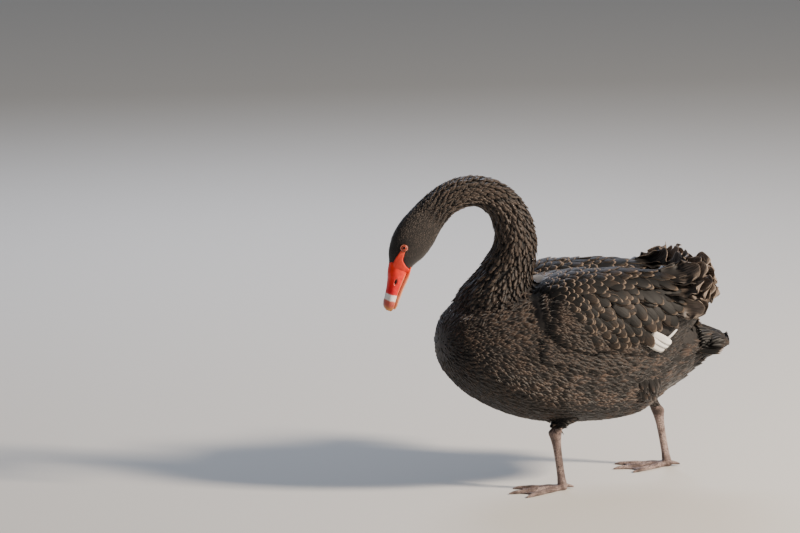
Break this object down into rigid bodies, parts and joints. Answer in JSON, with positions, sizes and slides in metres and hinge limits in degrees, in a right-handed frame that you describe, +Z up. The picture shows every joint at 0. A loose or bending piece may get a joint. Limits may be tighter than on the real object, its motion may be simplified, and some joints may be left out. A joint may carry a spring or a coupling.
{
  "type": "black swan",
  "caption": "Life-size standing model of a black swan walking, neck arched over and bill pointing down, with curled wing feathers and webbed feet.",
  "frame": {"origin": "on the floor, under the middle of the bird's bounding box", "axes": "+Z up, the bird faces -X with its tail towards +X, its left side is -Y"},
  "size_m": [0.6414, 0.2756, 0.5534],
  "materials": {
    "plumage": "soft brown-black feathers with paler edges",
    "wing_plumage": "brown-black flight and covert feathers with greyish edges",
    "bill": "waxy red with a pale band near the tip",
    "eye": "polished, red iris",
    "leg": "grey-pink scaled skin"
  },
  "bodies": {
    "root": {"torso": "plumage", "neck_base": "plumage", "neck_lower": "plumage", "neck_middle": "plumage", "neck_upper": "plumage", "head": "plumage", "eye_left": "eye", "eye_right": "eye", "bill_upper": "bill", "bill_lower": "bill", "thigh_left": "plumage", "shank_left": "leg", "foot_left": "leg", "wing_left": "wing_plumage", "thigh_right": "plumage", "shank_right": "leg", "foot_right": "leg", "wing_right": "wing_plumage", "tail": "plumage"}
  },
  "joints": []
}
